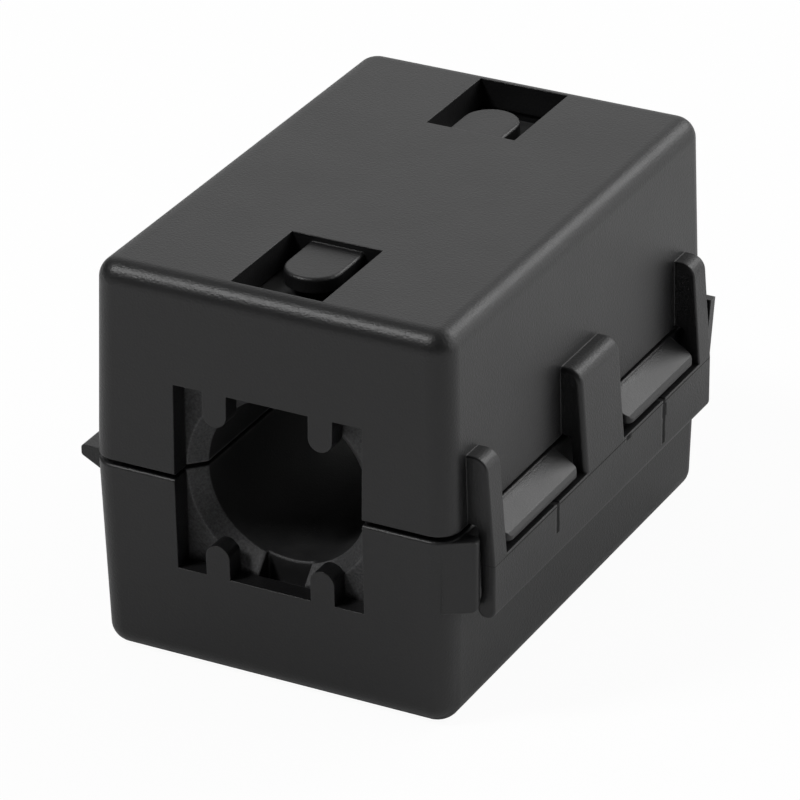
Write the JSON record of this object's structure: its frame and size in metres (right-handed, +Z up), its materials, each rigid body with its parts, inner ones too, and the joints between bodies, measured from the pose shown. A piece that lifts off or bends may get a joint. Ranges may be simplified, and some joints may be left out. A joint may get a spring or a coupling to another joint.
{
  "type": "clip-on ferrite bead",
  "caption": "Hinged plastic box that snaps shut around a cable and holds a split ferrite sleeve to damp high-frequency noise.",
  "frame": {"origin": "on the cable bore's axis at mid length, on the parting plane of the two halves", "axes": "+Y along the cable bore, +Z up through the upper half, +X towards the latch"},
  "size_m": [0.0253, 0.0322, 0.0233],
  "materials": {
    "case_plastic": "fine matt moulded texture, black",
    "ferrite": "ground sintered ferrite, dark grey"
  },
  "bodies": {
    "lower_half": {"lower_case": "case_plastic", "lower_core": "ferrite"},
    "upper_half": {"upper_case": "case_plastic", "upper_core": "ferrite"},
    "latch": {"latch_loop": "case_plastic"}
  },
  "joints": [
    {"name": "case_hinge", "type": "hinge", "parent": "lower_half", "child": "upper_half", "pos_m": [-0.01175, 0, -0.0006], "axis": [0, -1, 0], "range_deg": [0, 165]},
    {"name": "latch_flex", "type": "hinge", "parent": "upper_half", "child": "latch", "pos_m": [0.01234, 0, 0.0002], "axis": [0, -1, 0], "range_deg": [0, 20], "stiffness_Nm_per_rad": 0.05}
  ]
}
